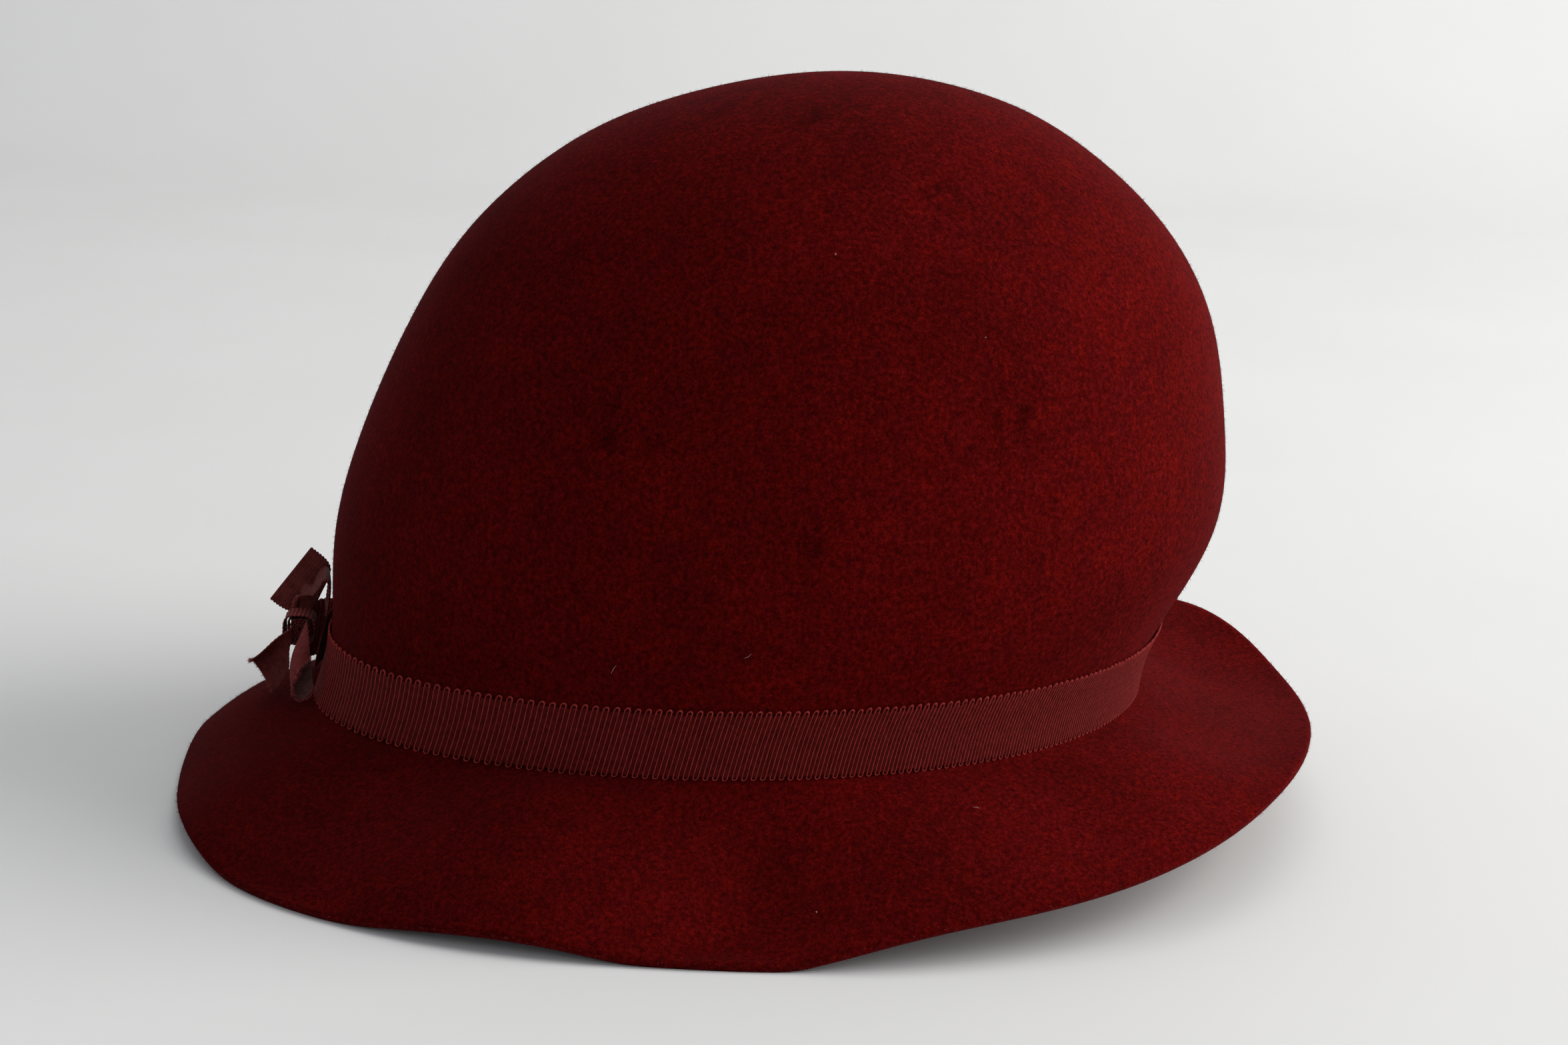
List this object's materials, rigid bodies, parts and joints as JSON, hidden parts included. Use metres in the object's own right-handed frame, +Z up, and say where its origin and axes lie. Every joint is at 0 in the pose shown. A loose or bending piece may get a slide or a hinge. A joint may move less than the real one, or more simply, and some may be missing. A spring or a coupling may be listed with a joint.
{
  "type": "cloche hat",
  "caption": "Soft felt cloche hat with a deep rounded crown, a short wavy turned-down brim, a ribbed ribbon band and a small tied bow at the front.",
  "frame": {"origin": "on the resting surface, under the middle of the brim's outline", "axes": "+Z up from the surface through the crown, -Y toward the wearer's front where the bow is, +X toward the wearer's left"},
  "size_m": [0.2522, 0.2672, 0.1674],
  "materials": {
    "felt": "velour fur felt, dark wine red with a soft nap",
    "ribbon": "ribbed petersham ribbon, brownish burgundy with a dull sheen"
  },
  "bodies": {
    "root": {"felt_hood": "felt", "petersham_band": "ribbon", "bow_knot": "ribbon", "bow_upper_loop": "ribbon", "bow_upper_tail": "ribbon", "bow_far_loop": "ribbon", "bow_near_tail": "ribbon", "bow_far_tail": "ribbon"}
  },
  "joints": []
}
